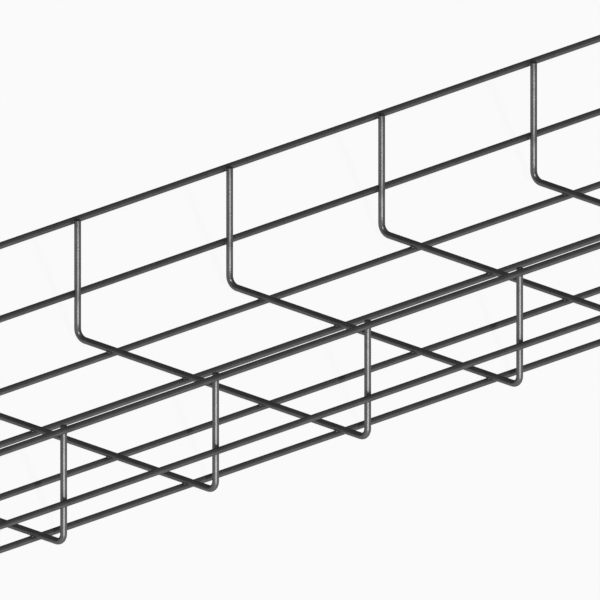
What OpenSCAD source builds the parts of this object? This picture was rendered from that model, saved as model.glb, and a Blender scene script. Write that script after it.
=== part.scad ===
// Wire mesh cable tray: U-shaped cross wires welded inside straight long wires.
// +X runs along the tray, +Y across it to its left side, and +Z up. The origin is on the
// surface that the tray stands on, under its middle.

/* [Tray] */
// Length of the tray, between the cut ends of its long wires
tray_length = 3000; // [500:100:3000]
// Overall width of the tray, over its side wires
tray_width = 200; // [100:50:500]
// Height of a cross wire, from its underside to its cut ends
leg_height = 60; // [50:1:150]

/* [Wire] */
// Diameter of every wire
wire_d = 3.2; // [3:0.1:4]
// Inside radius of the two bends of a cross wire
bend_inside_r = 3.2; // [3:0.1:6]
// Depth to which a weld presses two crossing wires into each other
weld_sink = 0.2; // [0.1:0.05:0.4]

/* [Mesh] */
// Spacing of the cross wires along the tray
cross_pitch = 100; // [100:50:250]
// Spacing of the floor wires across the tray
floor_pitch = 50; // [25:5:50]
// Height of the side wires' centre above that of a cross wire's level stretch
side_rise = 21; // [14:1:35]
// Distance from a cross wire's cut ends down to the centre of the edge wires
edge_drop = 1; // [0.9:0.1:5]

/* [Hidden] */
$fn = 48;
wire_r = wire_d / 2;
bend_r = bend_inside_r + wire_r;

// Two welded wires are this far apart, centre to centre.
crossing_offset = wire_d - weld_sink;

// Heights of the wires' centre lines. The tray stands on its floor wires.
floor_z = wire_r;
cross_z = floor_z + crossing_offset;
side_z = cross_z + side_rise;
leg_top_z = cross_z - wire_r + leg_height;
edge_z = leg_top_z - edge_drop;

// Distances of the upright wires from the tray's middle plane
side_y = tray_width / 2 - wire_r;
leg_y = side_y - crossing_offset;

cross_count = floor(tray_length / cross_pitch);
floor_count = floor(tray_width / floor_pitch);

// Each side of the tray: its name, and the sign of its Y
SIDES = [["left", 1], ["right", -1]];

function two_digits(n) = n < 10 ? str("0", n) : str(n);
function cross_name(i) = str("cross_wire_", two_digits(i));
function floor_name(i) = str("floor_wire_", i);
function side_name(side) = str("side_wire_", side[0]);
function edge_name(side) = str("edge_wire_", side[0]);

// Position of number i in an evenly spaced, centred row
function in_row(i, count, pitch) = (i - (count + 1) / 2) * pitch;

// A straight wire along the whole tray
module long_wire(y, z) {
    translate([-tray_length / 2, y, z])
        rotate([0, 90, 0])
            cylinder(h = tray_length, d = wire_d);
}

module floor_wire(i) {
    color("dimgray")
        long_wire(in_row(i, floor_count, floor_pitch), floor_z);
}

module side_wire(side) {
    color("dimgray")
        long_wire(side[1] * side_y, side_z);
}

module edge_wire(side) {
    color("dimgray")
        long_wire(side[1] * side_y, edge_z);
}

module long_wires() {
    for (i = [1:floor_count])
        floor_wire(i);
    for (side = SIDES) {
        side_wire(side);
        edge_wire(side);
    }
}

// The level stretch of a cross wire, between its bends
module cross_bar() {
    bar_length = 2 * (leg_y - bend_r);
    translate([0, bar_length / 2, cross_z])
        rotate([90, 0, 0])
            cylinder(h = bar_length, d = wire_d);
}

// The quarter turn from the level stretch up into the left leg
module bend() {
    translate([0, leg_y - bend_r, cross_z + bend_r])
        rotate([90, 0, 90])
            rotate([0, 0, -90])
                rotate_extrude(angle = 90)
                    translate([bend_r, 0])
                        circle(d = wire_d);
}

// The left end of a cross wire, from the level stretch up to its cut end
module upturned_end() {
    leg_foot_z = cross_z + bend_r;
    bend();
    translate([0, leg_y, leg_foot_z])
        cylinder(h = leg_top_z - leg_foot_z, d = wire_d);
}

// One U-shaped wire, with a shallow weld seat where each long wire lies against it
module cross_wire(i) {
    color("#3c3c3e")
        difference() {
            translate([in_row(i, cross_count, cross_pitch), 0, 0]) {
                cross_bar();
                upturned_end();
                mirror([0, 1, 0])
                    upturned_end();
            }
            long_wires();
        }
}

for (i = [1:floor_count])
    floor_wire(i);
for (side = SIDES)
    side_wire(side);
for (side = SIDES)
    edge_wire(side);
for (i = [1:cross_count])
    cross_wire(i);
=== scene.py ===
"""Dresses a welded wire mesh cable basket: drawn steel wires, weld flash, sheared ends and a pale studio."""

import math
import random

import bpy
from bpy.props import FloatProperty, FloatVectorProperty, IntProperty, PointerProperty
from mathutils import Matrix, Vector


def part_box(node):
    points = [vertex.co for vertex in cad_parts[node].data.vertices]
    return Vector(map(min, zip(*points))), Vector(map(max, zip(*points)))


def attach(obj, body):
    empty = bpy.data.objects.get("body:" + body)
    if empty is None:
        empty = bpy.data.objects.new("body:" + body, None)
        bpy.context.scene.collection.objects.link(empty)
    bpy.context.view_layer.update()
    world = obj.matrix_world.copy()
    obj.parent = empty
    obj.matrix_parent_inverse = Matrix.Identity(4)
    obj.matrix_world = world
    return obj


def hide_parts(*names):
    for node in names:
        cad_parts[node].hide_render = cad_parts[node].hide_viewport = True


bl_info = {
    "name": "Wire Mesh Cable Basket",
    "version": (1, 0, 0),
    "blender": (4, 5, 0),
    "location": "3D View > Sidebar > Cable Basket",
    "description": "Drawn wires, weld flash and a pale studio for a welded wire mesh cable basket",
    "category": "Object",
}

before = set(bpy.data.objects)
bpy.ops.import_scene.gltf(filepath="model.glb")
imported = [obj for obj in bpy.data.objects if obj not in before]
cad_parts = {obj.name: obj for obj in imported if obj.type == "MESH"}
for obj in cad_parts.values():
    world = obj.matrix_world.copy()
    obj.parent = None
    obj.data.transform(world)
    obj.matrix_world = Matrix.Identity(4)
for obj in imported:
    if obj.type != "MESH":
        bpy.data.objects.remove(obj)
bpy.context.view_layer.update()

MM = 0.001
ALONG, ACROSS, UP = Vector((1, 0, 0)), Vector((0, 1, 0)), Vector((0, 0, 1))


def middle(node):
    """The middle of a CAD node's box."""
    low, high = (Vector(corner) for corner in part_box(node))
    return (low + high) / 2


def nodes_named(start):
    return sorted(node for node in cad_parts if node.startswith(start))


FLOOR_WIRES = nodes_named("floor_wire_")
SIDE_WIRES = nodes_named("side_wire_")
EDGE_WIRES = nodes_named("edge_wire_")
CROSS_WIRES = nodes_named("cross_wire_")

# The wires' sizes and places, from the frame
CROSS_LOW, CROSS_HIGH = (Vector(corner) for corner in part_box(CROSS_WIRES[0]))
WIRE_R = (CROSS_HIGH.x - CROSS_LOW.x) / 2
TRAY_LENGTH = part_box(EDGE_WIRES[0])[1][0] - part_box(EDGE_WIRES[0])[0][0]
LEG_Y = CROSS_HIGH.y - WIRE_R
LEG_TOP = CROSS_HIGH.z
CROSS_Z = middle(FLOOR_WIRES[0]).z + abs(middle(EDGE_WIRES[0]).y) - LEG_Y
CROSSING_GAP = CROSS_Z - middle(FLOOR_WIRES[0]).z


# Settings


class WireSettings(bpy.types.PropertyGroup):
    """Shape of the drawn wires."""

    bend_inside: FloatProperty(
        name="Bend Radius", description="Inside radius of a cross wire's bends",
        default=3.2 * MM, min=1 * MM, unit="LENGTH",
    )
    sides: IntProperty(
        name="Sides", description="Faces round a wire", default=24, min=8, max=64,
    )
    edge_break: FloatProperty(
        name="Edge Break", description="Width of the worn rim of a sheared end",
        default=0.15 * MM, min=0, unit="LENGTH",
    )


class WeldSettings(bpy.types.PropertyGroup):
    """Shape of the resistance welds."""

    reach: FloatProperty(
        name="Flash Reach", description="Distance from a weld's middle to the rim of its flash",
        default=1.42 * MM, min=1 * MM, max=1.5 * MM, unit="LENGTH",
    )
    waist: FloatProperty(
        name="Flash Waist", description="Distance from a weld's middle to the waist of its flash",
        default=1.1 * MM, min=0.9 * MM, max=1.4 * MM, unit="LENGTH",
    )
    dent: FloatProperty(
        name="Electrode Dent", description="Depth of the flat that an electrode leaves behind a weld",
        default=0.1 * MM, min=0, max=0.3 * MM, unit="LENGTH",
    )
    heat_reach: FloatProperty(
        name="Heat Reach", description="How far the heat of a weld has dulled the wire",
        default=3.5 * MM, min=1 * MM, unit="LENGTH",
    )


class FinishSettings(bpy.types.PropertyGroup):
    """Colours and gloss of the steel."""

    steel: FloatVectorProperty(
        name="Steel", description="Colour of the drawn wire", subtype="COLOR",
        default=(0.138, 0.138, 0.138), min=0, max=1,
    )
    steel_shade: FloatVectorProperty(
        name="Steel Shade", description="Colour in the drawing lines and cloudy patches",
        subtype="COLOR", default=(0.092, 0.092, 0.092), min=0, max=1,
    )
    weld_tint: FloatVectorProperty(
        name="Weld Tint", description="Colour of the steel that a weld has heated", subtype="COLOR",
        default=(0.07, 0.067, 0.066), min=0, max=1,
    )
    sheared: FloatVectorProperty(
        name="Sheared End", description="Colour of the cut ends", subtype="COLOR",
        default=(0.11, 0.11, 0.11), min=0, max=1,
    )
    rim_tint: FloatVectorProperty(
        name="Rim Tint", description="Tint of what the wire mirrors at a glancing angle",
        subtype="COLOR", default=(0.2, 0.2, 0.2), min=0, max=1,
    )
    roughness: FloatProperty(
        name="Roughness", description="Roughness of the drawn wire", default=0.33, min=0, max=1,
    )


class StudioSettings(bpy.types.PropertyGroup):
    """The floor, the lamps and the view."""

    paper: FloatVectorProperty(
        name="Paper", description="Colour of the floor", subtype="COLOR",
        default=(0.9, 0.9, 0.9), min=0, max=1,
    )
    paper_glow: FloatProperty(
        name="Paper Glow", description="Share of the floor's look that no shadow darkens",
        default=0.93, min=0, max=1, subtype="FACTOR",
    )
    key_power: FloatProperty(
        name="Key Power", description="Strength of the high lamp", default=2.25, min=0,
    )
    bounce_power: FloatProperty(
        name="Bounce Power", description="Strength of the lamp below the floor", default=1.9, min=0,
    )
    sky_power: FloatProperty(
        name="Sky Power", description="Strength of the surroundings", default=0.12, min=0,
    )
    azimuth: FloatProperty(
        name="Azimuth", description="Direction of the view round the basket",
        default=math.radians(-45), subtype="ANGLE",
    )
    elevation: FloatProperty(
        name="Elevation", description="Height of the view above the level",
        default=math.radians(20.24), subtype="ANGLE",
    )
    field: FloatProperty(
        name="Field", description="Width of what the view takes in",
        default=279.1 * MM, min=0, unit="LENGTH",
    )


# Shader maths


class Term:
    """One socket of a shader. Arithmetic on it adds the nodes that work the result out."""

    def __init__(self, graph, socket):
        self.graph, self.socket = graph, socket

    def __add__(self, other):
        return self.graph.combine("ADD", self, other)

    def __radd__(self, other):
        return self.graph.combine("ADD", other, self)

    def __sub__(self, other):
        return self.graph.combine("SUBTRACT", self, other)

    def __rsub__(self, other):
        return self.graph.combine("SUBTRACT", other, self)

    def __mul__(self, other):
        return self.graph.combine("MULTIPLY", self, other)

    def __rmul__(self, other):
        return self.graph.combine("MULTIPLY", other, self)


class Graph:
    """A material's or world's node tree, emptied and ready to be filled."""

    def __init__(self, tree):
        self.tree = tree
        tree.nodes.clear()

    def add(self, kind, settings=(), sockets=(), output=0):
        """Adds one node: first its settings, then its sockets' values or links. Returns an output."""
        node = self.tree.nodes.new(kind)
        for name, value in dict(settings).items():
            setattr(node, name, value)
        for name, value in dict(sockets).items():
            if isinstance(value, Term):
                self.tree.links.new(value.socket, node.inputs[name])
            else:
                node.inputs[name].default_value = value
        return Term(self, node.outputs[output]) if node.outputs else None

    def combine(self, operation, first, second):
        """Arithmetic on two terms or numbers, by Math, Vector Math or Mix as their kinds ask."""
        kinds = {term.socket.type for term in (first, second) if isinstance(term, Term)}
        if "RGBA" in kinds:
            return self.add(
                "ShaderNodeMix",
                {"data_type": "RGBA", "blend_type": operation},
                {0: 1.0, 6: first, 7: second},
                output=2,
            )
        if "VECTOR" in kinds:
            return self.add("ShaderNodeVectorMath", {"operation": operation}, {0: first, 1: second})
        return self.add("ShaderNodeMath", {"operation": operation}, {0: first, 1: second})

    def blend(self, first, second, share):
        """A colour between two colours."""
        return self.add(
            "ShaderNodeMix", {"data_type": "RGBA"}, {0: share, 6: first, 7: second}, output=2
        )

    def noise(self, place, scale, detail=3.0, roughness=0.5):
        return self.add(
            "ShaderNodeTexNoise",
            sockets={"Vector": place, "Scale": scale, "Detail": detail, "Roughness": roughness},
        )


def opaque(colour):
    return (*colour, 1.0)


# Finishes

# Noise scales, in features per metre
CLOUDY_PATCHES = 120.0
GRAIN = 1400.0
TORN_STEEL = 2600.0
BLADE_DRAG = 3000.0
DRAWING_LINES = 5000.0

# How the lines are drawn out: along a wire, and across a cut end with the blade
DRAWN_OUT = (1.0, 1.0, 0.02)
DRAGGED_OUT = (1.0, 0.12, 1.0)

# What noise lies round
EVEN = 0.5


def new_material(name):
    material = bpy.data.materials.new(name)
    material.use_nodes = True
    return material, Graph(material.node_tree)


def drawn_wire_finish():
    """Dark zinc plated wire: faint drawing lines along it, cloudy patches, and duller steel at its welds."""
    name = "drawn_wire"
    if name in bpy.data.materials:
        return bpy.data.materials[name]
    finish = bpy.context.scene.basket_finish
    material, graph = new_material(name)
    # A place in the wire drawn out straight: two distances from its axis, and one along it
    place = graph.add("ShaderNodeAttribute", {"attribute_name": "wire_place"}, output=1)
    heat = graph.add("ShaderNodeAttribute", {"attribute_name": "weld_heat"}, output=2)
    lines = graph.noise(place * DRAWN_OUT, DRAWING_LINES)
    clouds = graph.noise(place, CLOUDY_PATCHES, detail=4.0, roughness=0.6)
    grain = graph.noise(place, GRAIN, detail=2.0)
    tone = EVEN + 1.4 * (clouds - EVEN) + 1.2 * (lines - EVEN)
    steel = graph.blend(opaque(finish.steel_shade), opaque(finish.steel), tone)
    colour = graph.blend(steel, opaque(finish.weld_tint), heat * (0.2 + 0.4 * grain))
    roughness = finish.roughness - 0.1 + lines * 0.12 + clouds * 0.08 + heat * 0.06
    bump = graph.add(
        "ShaderNodeBump",
        sockets={"Strength": 0.12, "Distance": 0.02 * MM, "Height": lines + grain * (0.3 + heat)},
    )
    surface = graph.add(
        "ShaderNodeBsdfPrincipled",
        sockets={
            "Base Color": colour, "Metallic": 0.7, "Specular Tint": opaque(finish.rim_tint),
            "Roughness": roughness, "Normal": bump,
        },
    )
    graph.add("ShaderNodeOutputMaterial", sockets={"Surface": surface})
    return material


def sheared_end_finish():
    """The face of a sheared wire: streaks dragged by the blade, and the grain of torn steel."""
    name = "sheared_end"
    if name in bpy.data.materials:
        return bpy.data.materials[name]
    finish = bpy.context.scene.basket_finish
    material, graph = new_material(name)
    place = graph.add("ShaderNodeAttribute", {"attribute_name": "wire_place"}, output=1)
    drag = graph.noise(place * DRAGGED_OUT, BLADE_DRAG, detail=2.0)
    torn = graph.noise(place, TORN_STEEL, detail=4.0, roughness=0.7)
    colour = graph.blend(opaque(finish.weld_tint), opaque(finish.sheared), drag)
    bump = graph.add(
        "ShaderNodeBump",
        sockets={"Strength": 0.6, "Distance": 0.06 * MM, "Height": drag * 0.5 + torn * 0.5},
    )
    surface = graph.add(
        "ShaderNodeBsdfPrincipled",
        sockets={
            "Base Color": colour, "Metallic": 0.9, "Roughness": 0.45 + torn * 0.25, "Normal": bump,
        },
    )
    graph.add("ShaderNodeOutputMaterial", sockets={"Surface": surface})
    return material


# Wires

# Places of a wire's rings on each side of a weld, in shares of its heat's reach
RING_SHARES = (0.2, 0.42, 0.7, 1.1, 1.9)

# Rings closer than this are one
RING_GAP = 0.05 * MM

# Heat below this share leaves no mark
FAINT_HEAT = 0.01

BEND_STEPS = 10


class Weld:
    """A crossing: how far along a wire it is, and the direction from that wire to the other one."""

    def __init__(self, along, towards):
        self.along, self.towards = along, towards


class Shell:
    """Vertices and faces that grow into one mesh, with each vertex's place in the wire and its heat."""

    def __init__(self):
        self.points, self.places, self.heats = [], [], []
        self.faces, self.cut_faces = [], set()

    def ring(self, points, places, heat):
        """Adds a loop of vertices and returns their numbers."""
        first = len(self.points)
        self.points += points
        self.places += places
        self.heats += [heat] * len(points)
        return list(range(first, len(self.points)))

    def band(self, ring, following):
        """Joins two loops with as many vertices by quads."""
        for i, corner in enumerate(ring):
            after = (i + 1) % len(ring)
            self.faces.append((corner, ring[after], following[after], following[i]))

    def cap(self, ring):
        self.cut_faces.add(len(self.faces))
        self.faces.append(tuple(ring))

    def make(self, name):
        """The finished object, with flat sheared ends and smooth sides."""
        mesh = bpy.data.meshes.new(name)
        mesh.from_pydata(self.points, [], self.faces)
        place = mesh.attributes.new("wire_place", "FLOAT_VECTOR", "POINT")
        place.data.foreach_set("vector", [x for point in self.places for x in point])
        mesh.attributes.new("weld_heat", "FLOAT", "POINT").data.foreach_set("value", self.heats)
        mesh.materials.append(drawn_wire_finish())
        mesh.materials.append(sheared_end_finish())
        for i, face in enumerate(mesh.polygons):
            face.use_smooth = i not in self.cut_faces
            face.material_index = 1 if i in self.cut_faces else 0
        mesh.update()
        mesh.validate()
        wire = bpy.data.objects.new(name, mesh)
        bpy.context.collection.objects.link(wire)
        return wire


def stations(length, welds, corners=()):
    """Where a wire gets a ring of vertices: at its rims, round each weld, and through its bends."""
    rim = bpy.context.scene.basket_wire.edge_break
    heat_reach = bpy.context.scene.basket_weld.heat_reach
    places = {0.0, rim, 2 * rim, length - 2 * rim, length - rim, length}
    for weld in welds:
        for share in RING_SHARES:
            places |= {weld.along - share * heat_reach, weld.along + share * heat_reach}
        places.add(weld.along)
    places |= set(corners)
    kept = []
    for place in sorted(p for p in places if 0 <= p <= length):
        if not kept or place - kept[-1] > RING_GAP:
            kept.append(place)
    return kept


def draw_wire(shell, length, course, welds, corners=()):
    """Sweeps a round wire along a course, which gives the centre and two directions across it."""
    wire, weld_settings = bpy.context.scene.basket_wire, bpy.context.scene.basket_weld
    rim = wire.edge_break
    turns = [2 * math.pi * i / wire.sides for i in range(wire.sides)]
    rings = []
    for along in stations(length, welds, corners):
        centre, first, second = course(along)
        at_rim = along < rim / 2 or along > length - rim / 2
        radius = WIRE_R - rim if at_rim else WIRE_R
        heat = 0.0
        offsets = [radius * (math.cos(a) * first + math.sin(a) * second) for a in turns]
        for weld in welds:
            near = math.exp(-((along - weld.along) / weld_settings.heat_reach) ** 2)
            if near < FAINT_HEAT:
                continue
            heat = max(heat, near)
            flat = WIRE_R - weld_settings.dent * near**2
            offsets = [o + weld.towards * max(0.0, -o.dot(weld.towards) - flat) for o in offsets]
        places = [(o.dot(first), o.dot(second), along) for o in offsets]
        rings.append(shell.ring([centre + o for o in offsets], places, heat))
    for ring, following in zip(rings, rings[1:]):
        shell.band(ring, following)
    shell.cap(rings[0][::-1])
    shell.cap(rings[-1])


def weld_flash(shell, middle_point, towards, first, second, chance):
    """The collar of squeezed-out steel round a weld. It dips into both wires, so no gap shows."""
    settings = bpy.context.scene.basket_weld
    sunk = 0.06 * MM
    core = 0.5 * WIRE_R
    widest = 0.95 * WIRE_R
    steps = 20
    waves = [chance.uniform(-0.09, 0.07) for _ in range(5)]

    def heights(reach, turn):
        """Heights of the two wires' skins at this distance and turn from the weld's middle."""
        lower = math.sqrt(WIRE_R**2 - (reach * math.sin(turn)) ** 2)
        upper = CROSSING_GAP - math.sqrt(WIRE_R**2 - (reach * math.cos(turn)) ** 2)
        return lower - CROSSING_GAP / 2, upper - CROSSING_GAP / 2

    def spot(reach, height, turn):
        across = math.cos(turn) * first + math.sin(turn) * second
        return middle_point + reach * across + height * towards

    loops = [[] for _ in range(6)]
    for i in range(steps):
        turn = 2 * math.pi * i / steps
        ripple = sum(wave * math.sin((k + 1) * turn + 2.1 * k) / (1 + k) for k, wave in enumerate(waves))
        reach = min(settings.reach * (1 + 0.5 * ripple), widest)
        waist = settings.waist * (1 + ripple)
        shoulder = 0.4 * reach + 0.6 * waist
        low, high = heights(reach, turn)
        low, high = low - sunk, high + sunk
        halfway = (low + high) / 2
        profile = [
            (reach, low),
            (shoulder, 0.55 * low + 0.45 * halfway),
            (waist, halfway),
            (shoulder, 0.55 * high + 0.45 * halfway),
            (reach, high),
            (core, sum(heights(core, turn)) / 2),
        ]
        for loop, (distance, height) in zip(loops, profile):
            loop.append(spot(distance, height, turn))
    rings = [shell.ring(loop, [tuple(point) for point in loop], 1.0) for loop in loops]
    for ring, following in zip(rings, rings[1:] + rings[:1]):
        shell.band(ring, following)


def long_wire(node, towards):
    """A straight wire in place of a CAD one. Its welds lie towards the cross wires."""
    centre = middle(node)
    start = centre - ALONG * TRAY_LENGTH / 2
    welds = [Weld(middle(cross).x - start.x, towards) for cross in CROSS_WIRES]
    shell = Shell()
    draw_wire(shell, TRAY_LENGTH, lambda along: (start + along * ALONG, ACROSS, UP), welds)
    finish_piece(shell.make(f"{node}_drawn"), node)


def cross_wire(node):
    """A U-shaped wire and its welds, in place of a CAD one. It runs from its right leg to its left."""
    place_x = middle(node).x
    bend = bpy.context.scene.basket_wire.bend_inside + WIRE_R
    foot = CROSS_Z + bend
    leg, quarter, bar = LEG_TOP - foot, bend * math.pi / 2, 2 * (LEG_Y - bend)
    length = 2 * (leg + quarter) + bar

    def course(along):
        side = 1 if along > length / 2 else -1
        left = min(along, length - along)
        if left <= leg:
            centre, inward = Vector((place_x, side * LEG_Y, LEG_TOP - left)), -side * ACROSS
        elif left <= leg + quarter:
            turn = (left - leg) / bend
            inward = -side * math.cos(turn) * ACROSS + math.sin(turn) * UP
            centre = Vector((place_x, side * (LEG_Y - bend), foot)) - bend * inward
        else:
            centre = Vector((place_x, side * (length / 2 - left), CROSS_Z))
            inward = UP.copy()
        return centre, inward, ALONG

    corners = [leg + quarter * i / BEND_STEPS for i in range(BEND_STEPS + 1)]
    corners += [length - corner for corner in corners]
    chance = random.Random(node)
    shell, welds = Shell(), []
    for floor in FLOOR_WIRES:
        welds.append((Weld(length / 2 + middle(floor).y, -UP), middle(floor)))
    for upright in SIDE_WIRES + EDGE_WIRES:
        at = middle(upright)
        side = math.copysign(1, at.y)
        drop = LEG_TOP - at.z
        welds.append((Weld(length - drop if side > 0 else drop, side * ACROSS), at))
    draw_wire(shell, length, course, [weld for weld, _ in welds], corners)
    for weld, at in welds:
        other = Vector((place_x, at.y, at.z))
        here, inward, _ = course(weld.along)
        weld_flash(shell, (here + other) / 2, -weld.towards, ALONG, ALONG.cross(weld.towards), chance)
    finish_piece(shell.make(f"{node}_drawn"), node)


def finish_piece(piece, node):
    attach(piece, "root")
    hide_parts(node)


# Studio

# How far off the lamps and the camera stand
STAND_OFF = 3.0

# The point in the middle of the view
VIEW_MIDDLE = Vector((1.07 * MM, 0.18 * MM, 34.87 * MM))


def lamp_direction(azimuth, elevation):
    """Unit vector towards a lamp or camera. Azimuth 0 is in front of the basket's right wall."""
    a, e = math.radians(azimuth), math.radians(elevation)
    return Vector((math.sin(a) * math.cos(e), -math.cos(a) * math.cos(e), math.sin(e)))


def aim(thing, towards, target=Vector()):
    """Puts a lamp or camera in this direction from the target, looking at it."""
    thing.location = target + towards * STAND_OFF
    thing.rotation_mode = "QUATERNION"
    thing.rotation_quaternion = (-towards).to_track_quat("-Z", "Y")


def sun(name, azimuth, elevation, power, spread):
    """A far lamp. Its angles and its spread are in degrees."""
    data = bpy.data.lights.new(name, "SUN")
    data.energy, data.angle = power, math.radians(spread)
    lamp = bpy.data.objects.new(name, data)
    bpy.context.collection.objects.link(lamp)
    aim(lamp, lamp_direction(azimuth, elevation))


def paper_floor(studio):
    """A white floor that looks evenly white, and keeps a faint shadow of the basket."""
    reach = 5.0
    mesh = bpy.data.meshes.new("paper_floor")
    corners = [(-reach, -reach, 0), (reach, -reach, 0), (reach, reach, 0), (-reach, reach, 0)]
    mesh.from_pydata(corners, [], [(0, 1, 2, 3)])
    floor = bpy.data.objects.new("paper_floor", mesh)
    bpy.context.collection.objects.link(floor)
    material, graph = new_material("white_paper")
    lit = graph.add("ShaderNodeBsdfDiffuse", sockets={"Color": opaque(studio.paper)})
    glow = graph.add("ShaderNodeEmission", sockets={"Color": (1, 1, 1, 1), "Strength": 1.0})
    path = graph.add("ShaderNodeLightPath")
    rays = path.socket.node.outputs
    camera_ray, glossy_ray, transmission_ray = (
        Term(graph, rays[name]) for name in ("Is Camera Ray", "Is Glossy Ray", "Is Transmission Ray")
    )
    share = (camera_ray + glossy_ray + transmission_ray) * studio.paper_glow
    mixed = graph.add("ShaderNodeMixShader", sockets={0: share, 1: lit, 2: glow})
    graph.add("ShaderNodeOutputMaterial", sockets={"Surface": mixed})
    mesh.materials.append(material)
    # The steel still mirrors the glow. No lamp ray is aimed at it, which leaves less grain on the wires.
    material.cycles.emission_sampling = "NONE"
    # The floor bounce is a lamp below the floor, and has to shine through it.
    floor.visible_shadow = False


def surroundings(studio):
    """A grey all round that is lighter towards one end of the basket."""
    slope = 0.8
    world = bpy.data.worlds.new("studio")
    world.use_nodes = True
    graph = Graph(world.node_tree)
    direction = graph.add("ShaderNodeTexCoord")
    eastward = graph.add("ShaderNodeSeparateXYZ", sockets={"Vector": direction})
    grey = graph.add(
        "ShaderNodeBackground",
        sockets={"Color": (1, 1, 1, 1), "Strength": (1.0 + slope * eastward) * studio.sky_power},
    )
    graph.add("ShaderNodeOutputWorld", sockets={"Surface": grey})
    bpy.context.scene.world = world


def camera(studio):
    data = bpy.data.cameras.new("view")
    data.type, data.ortho_scale = "ORTHO", studio.field
    data.clip_start, data.clip_end = 0.01, 30.0
    view = bpy.data.objects.new("view", data)
    bpy.context.collection.objects.link(view)
    bpy.context.scene.camera = view
    towards = lamp_direction(math.degrees(studio.azimuth), math.degrees(studio.elevation))
    aim(view, towards, VIEW_MIDDLE)


# Operators


class BASKET_OT_floor_wires(bpy.types.Operator):
    """Draws the straight wires under the floor"""

    bl_idname, bl_label = "basket.floor_wires", "Floor Wires"

    def execute(self, context):
        for node in FLOOR_WIRES:
            long_wire(node, UP)
        return {"FINISHED"}


class BASKET_OT_side_wires(bpy.types.Operator):
    """Draws the straight wires halfway up the walls"""

    bl_idname, bl_label = "basket.side_wires", "Side Wires"

    def execute(self, context):
        for node in SIDE_WIRES:
            long_wire(node, -math.copysign(1, middle(node).y) * ACROSS)
        return {"FINISHED"}


class BASKET_OT_edge_wires(bpy.types.Operator):
    """Draws the straight wires along the rims"""

    bl_idname, bl_label = "basket.edge_wires", "Edge Wires"

    def execute(self, context):
        for node in EDGE_WIRES:
            long_wire(node, -math.copysign(1, middle(node).y) * ACROSS)
        return {"FINISHED"}


class BASKET_OT_cross_wires(bpy.types.Operator):
    """Bends the U-shaped wires and adds the flash of their welds"""

    bl_idname, bl_label = "basket.cross_wires", "Cross Wires"

    def execute(self, context):
        for node in CROSS_WIRES:
            cross_wire(node)
        return {"FINISHED"}


class BASKET_OT_studio(bpy.types.Operator):
    """Lays the paper floor and sets the lamps and the view"""

    bl_idname, bl_label = "basket.studio", "Studio"

    def execute(self, context):
        studio = context.scene.basket_studio
        paper_floor(studio)
        surroundings(studio)
        sun("high_key", -37, 22.9, studio.key_power, 1.0)
        sun("floor_bounce", -31, -20, studio.bounce_power, 12.0)
        camera(studio)
        context.scene.view_settings.view_transform = "Standard"
        return {"FINISHED"}


class BASKET_PT_sidebar(bpy.types.Panel):
    """Lists the basket's pieces and their settings"""

    bl_idname, bl_label = "BASKET_PT_sidebar", "Cable Basket"
    bl_space_type, bl_region_type, bl_category = "VIEW_3D", "UI", "Cable Basket"

    def draw(self, context):
        for operator in OPERATORS:
            self.layout.operator(operator.bl_idname)
        for group in SETTINGS:
            box, settings = self.layout.box(), getattr(context.scene, group)
            for name in SETTINGS[group].__annotations__:
                box.prop(settings, name)


SETTINGS = {
    "basket_wire": WireSettings,
    "basket_weld": WeldSettings,
    "basket_finish": FinishSettings,
    "basket_studio": StudioSettings,
}
OPERATORS = (
    BASKET_OT_floor_wires,
    BASKET_OT_side_wires,
    BASKET_OT_edge_wires,
    BASKET_OT_cross_wires,
    BASKET_OT_studio,
)


def register():
    for cls in (*SETTINGS.values(), *OPERATORS, BASKET_PT_sidebar):
        bpy.utils.register_class(cls)
    for name, cls in SETTINGS.items():
        setattr(bpy.types.Scene, name, PointerProperty(type=cls))


def unregister():
    for name in SETTINGS:
        delattr(bpy.types.Scene, name)
    for cls in (BASKET_PT_sidebar, *reversed(OPERATORS), *SETTINGS.values()):
        bpy.utils.unregister_class(cls)


def main():
    register()
    bpy.ops.basket.floor_wires()
    bpy.ops.basket.side_wires()
    bpy.ops.basket.edge_wires()
    bpy.ops.basket.cross_wires()
    bpy.ops.basket.studio()


if __name__ == "__main__":
    main()
